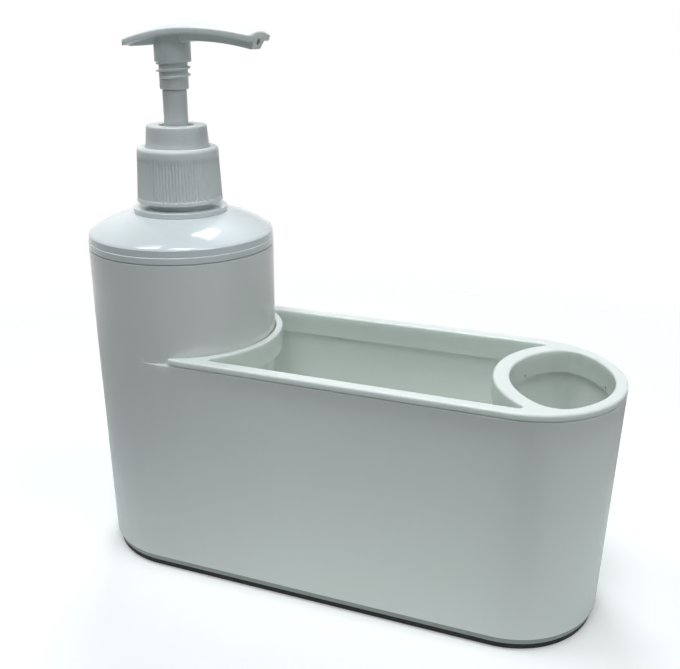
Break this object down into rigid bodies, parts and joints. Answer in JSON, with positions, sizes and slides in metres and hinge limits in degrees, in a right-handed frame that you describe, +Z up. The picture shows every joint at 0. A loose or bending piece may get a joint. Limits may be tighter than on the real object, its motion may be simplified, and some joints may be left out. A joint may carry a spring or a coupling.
{
  "type": "dish soap dispenser with sponge caddy",
  "caption": "Countertop dish soap dispenser: round soap reservoir with a lotion pump, moulded with a caddy that holds a sponge and a brush.",
  "frame": {"origin": "on the floor under the middle of the outline", "axes": "+X along the caddy from the reservoir to the round end with the brush cup, +Z up"},
  "size_m": [0.2154, 0.0742, 0.2186],
  "materials": {
    "body_plastic": "satin gloss, moulded white",
    "rim_plastic": "gloss, moulded white",
    "pad_rubber": "matt black, non-slip",
    "lid_plastic": "high gloss, moulded white",
    "seal_rubber": "matt black",
    "pump_plastic": "satin, moulded white",
    "gasket_foam": "closed-cell foam sheet",
    "inner_plastic": "natural, slightly milky",
    "ball_glass": "polished",
    "spring_steel": "drawn stainless wire",
    "tube_plastic": "natural, milky"
  },
  "bodies": {
    "caddy": {"outer_body": "body_plastic", "base_pad": "pad_rubber", "reservoir_lid": "lid_plastic", "lid_seal": "seal_rubber"},
    "rim": {"rim_insert": "rim_plastic"},
    "pump": {"lock_collar": "pump_plastic", "neck_gasket": "gasket_foam", "pump_housing": "inner_plastic", "ball_cage": "inner_plastic", "return_spring": "spring_steel", "dip_tube": "tube_plastic"},
    "closure": {"ribbed_closure": "pump_plastic"},
    "piston": {"piston_seal": "inner_plastic"},
    "head": {"actuator_head": "pump_plastic", "pump_stem": "pump_plastic", "plunger_tip": "inner_plastic"},
    "ball": {"inlet_ball": "ball_glass"}
  },
  "joints": [
    {"name": "rim_lift", "type": "slide", "parent": "caddy", "child": "rim", "axis": [0, 0, 1], "range_m": [0, 0.012]},
    {"name": "pump_lift", "type": "slide", "parent": "caddy", "child": "pump", "axis": [0, 0, 1], "range_m": [0, 0.00847]},
    {"name": "closure_turn", "type": "hinge", "parent": "pump", "child": "closure", "pos_m": [-0.07057, 0, 0.16], "axis": [0, 0, 1], "range_deg": [0, 720]},
    {"name": "pump_press", "type": "slide", "parent": "pump", "child": "piston", "axis": [0, 0, -1], "range_m": [0, 0.0165], "stiffness_N_per_m": 600, "springref_m": -0.008, "deforming": ["return_spring"]},
    {"name": "head_swivel", "type": "hinge", "parent": "piston", "child": "head", "pos_m": [-0.07057, 0, 0.2], "axis": [0, 0, 1], "continuous": true},
    {"name": "ball_lift", "type": "slide", "parent": "pump", "child": "ball", "axis": [0, 0, 1], "range_m": [0, 0.0012]}
  ],
  "couplings": [
    {"joint": "pump_lift", "follows": "closure_turn", "m_per_rad": 0.00067323}
  ]
}
